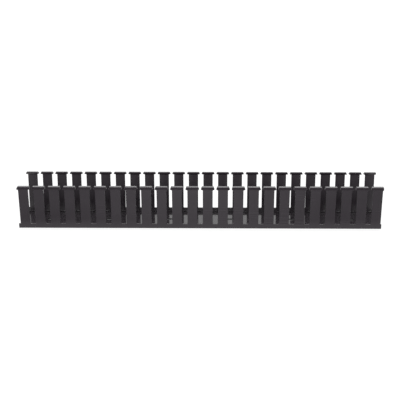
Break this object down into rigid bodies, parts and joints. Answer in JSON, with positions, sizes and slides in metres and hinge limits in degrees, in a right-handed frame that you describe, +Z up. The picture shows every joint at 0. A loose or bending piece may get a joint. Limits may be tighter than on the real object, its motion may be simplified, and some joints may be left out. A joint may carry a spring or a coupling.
{
  "type": "slotted wire duct",
  "caption": "Straight open-top wiring duct with fingered side walls, barbed finger heads that hold wires in and take a clip-on cover, and slotted screw holes in its base.",
  "frame": {"origin": "middle of the duct's length and width, on the underside of the base", "axes": "+X along the duct, +Y across it from wall to wall, +Z up out of the open top"},
  "size_m": [0.2978, 0.0446, 0.0363],
  "materials": {
    "duct": "extruded satin black rigid PVC"
  },
  "bodies": {
    "root": {"duct": "duct"}
  },
  "joints": []
}
